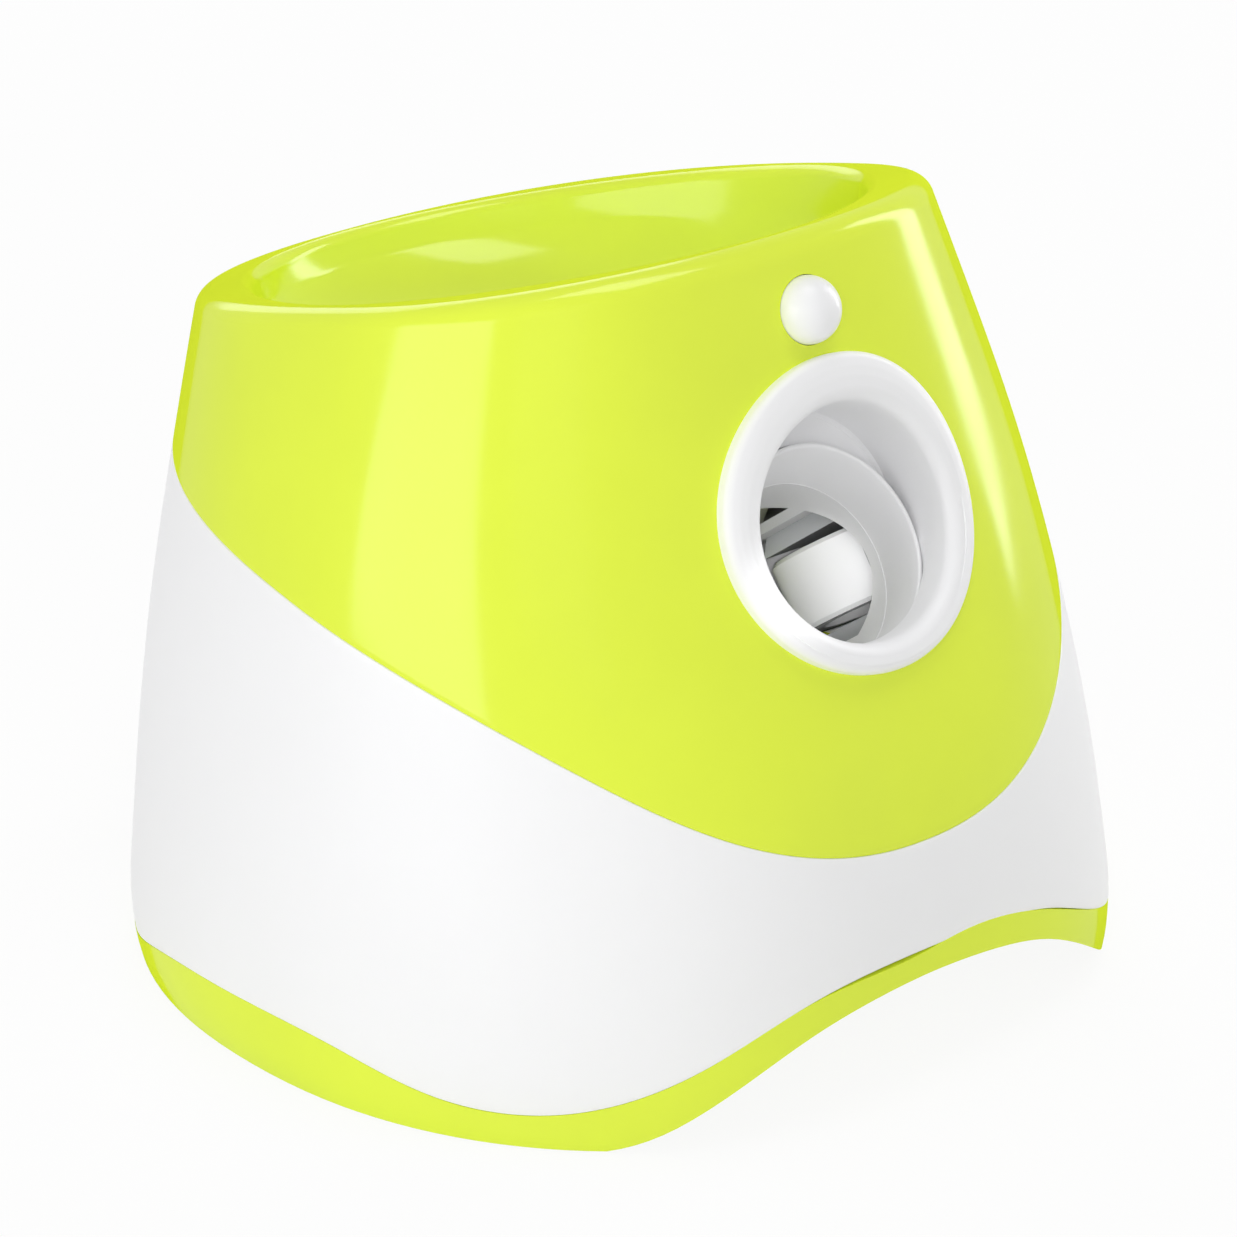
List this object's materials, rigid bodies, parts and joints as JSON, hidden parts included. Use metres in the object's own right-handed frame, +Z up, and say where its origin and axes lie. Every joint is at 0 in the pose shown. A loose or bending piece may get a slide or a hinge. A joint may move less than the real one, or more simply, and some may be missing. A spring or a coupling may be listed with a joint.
{
  "type": "automatic ball launcher",
  "caption": "Pet ball launcher: round two-tone housing with a tilted open hopper, front muzzle ring, sensor dome, friction wheels, swinging feed pusher and rear controls.",
  "frame": {"origin": "on the ground under the middle of the housing", "axes": "+Z up, -Y out of the muzzle (the front), +X across"},
  "size_m": [0.282, 0.2787, 0.2326],
  "materials": {
    "green_plastic": "gloss",
    "white_plastic": "gloss",
    "white_tread": "gloss",
    "lens_plastic": "frosted",
    "grey_plastic": "satin",
    "inner_plastic": "satin",
    "panel_plastic": "satin",
    "button_plastic": "gloss",
    "black_plastic": "satin",
    "motor_steel": "brushed",
    "screw_steel": "zinc plated",
    "bush_brass": "sintered",
    "cell_jacket": "plain dark jacket",
    "board_laminate": "solder mask",
    "light_plastic": "clear",
    "pad_rubber": "matt"
  },
  "bodies": {
    "housing": {"ball_switch": "black_plastic", "base_tray": "green_plastic", "battery_box": "inner_plastic", "battery_contacts": "screw_steel", "board_components": "black_plastic", "board_screws": "screw_steel", "body_shell": "white_plastic", "buzzer": "black_plastic", "case_screws": "screw_steel", "chamber_cradle": "grey_plastic", "chamber_screws": "screw_steel", "control_board": "board_laminate", "control_panel": "panel_plastic", "dc_jack": "black_plastic", "feed_servo": "black_plastic", "foot_pads": "pad_rubber", "front_cells": "cell_jacket", "hopper_funnel": "green_plastic", "indicator_lights": "light_plastic", "launch_chamber": "white_plastic", "launch_nozzle": "white_plastic", "left_motor": "motor_steel", "left_wheel_bracket": "grey_plastic", "main_board": "board_laminate", "motion_sensor": "motor_steel", "muzzle_bezel": "white_plastic", "rear_cells": "cell_jacket", "right_motor": "motor_steel", "right_wheel_bracket": "grey_plastic", "sensor_board": "board_laminate", "sensor_holder": "grey_plastic", "sensor_lens": "lens_plastic", "servo_bracket": "grey_plastic", "tact_switches": "black_plastic", "upper_shell": "green_plastic", "wheel_bushes": "bush_brass"},
    "left_wheel": {"left_wheel_hub": "inner_plastic", "left_wheel_tyre": "white_tread", "left_motor_shaft": "motor_steel"},
    "right_wheel": {"right_wheel_hub": "inner_plastic", "right_wheel_tyre": "white_tread", "right_motor_shaft": "motor_steel"},
    "pusher": {"feed_pusher": "inner_plastic", "servo_shaft": "motor_steel"},
    "ball_plunger": {"ball_switch_plunger": "inner_plastic"},
    "power_button": {"power_button": "button_plastic"},
    "distance_button": {"distance_button": "button_plastic"},
    "battery_door": {"battery_door": "inner_plastic"}
  },
  "joints": [
    {"name": "left_wheel_spin", "type": "hinge", "parent": "housing", "child": "left_wheel", "pos_m": [-0.0515, -0.05541, 0.11764], "axis": [0, 0.5878, 0.809], "continuous": true},
    {"name": "right_wheel_spin", "type": "hinge", "parent": "housing", "child": "right_wheel", "pos_m": [0.0515, -0.05541, 0.11764], "axis": [0, 0.5878, 0.809], "continuous": true},
    {"name": "pusher_swing", "type": "hinge", "parent": "housing", "child": "pusher", "pos_m": [0, 0.02648, 0.12995], "axis": [-1, 0, 0], "range_deg": [0, 28.9]},
    {"name": "ball_plunger_press", "type": "slide", "parent": "housing", "child": "ball_plunger", "axis": [0, -0.5878, -0.809], "range_m": [0, 0.003], "stiffness_N_per_m": 40, "springref_m": -0.001},
    {"name": "power_button_press", "type": "slide", "parent": "housing", "child": "power_button", "axis": [0, -1, 0], "range_m": [0, 0.0015], "stiffness_N_per_m": 600, "springref_m": -0.0005},
    {"name": "distance_button_press", "type": "slide", "parent": "housing", "child": "distance_button", "axis": [0, -1, 0], "range_m": [0, 0.0015], "stiffness_N_per_m": 600, "springref_m": -0.0005},
    {"name": "battery_door_swing", "type": "hinge", "parent": "housing", "child": "battery_door", "pos_m": [0, 0.05051, 0.0392], "axis": [-1, 0, 0], "range_deg": [0, 100]}
  ],
  "couplings": [
    {"joint": "right_wheel_spin", "follows": "left_wheel_spin", "ratio": -1}
  ]
}
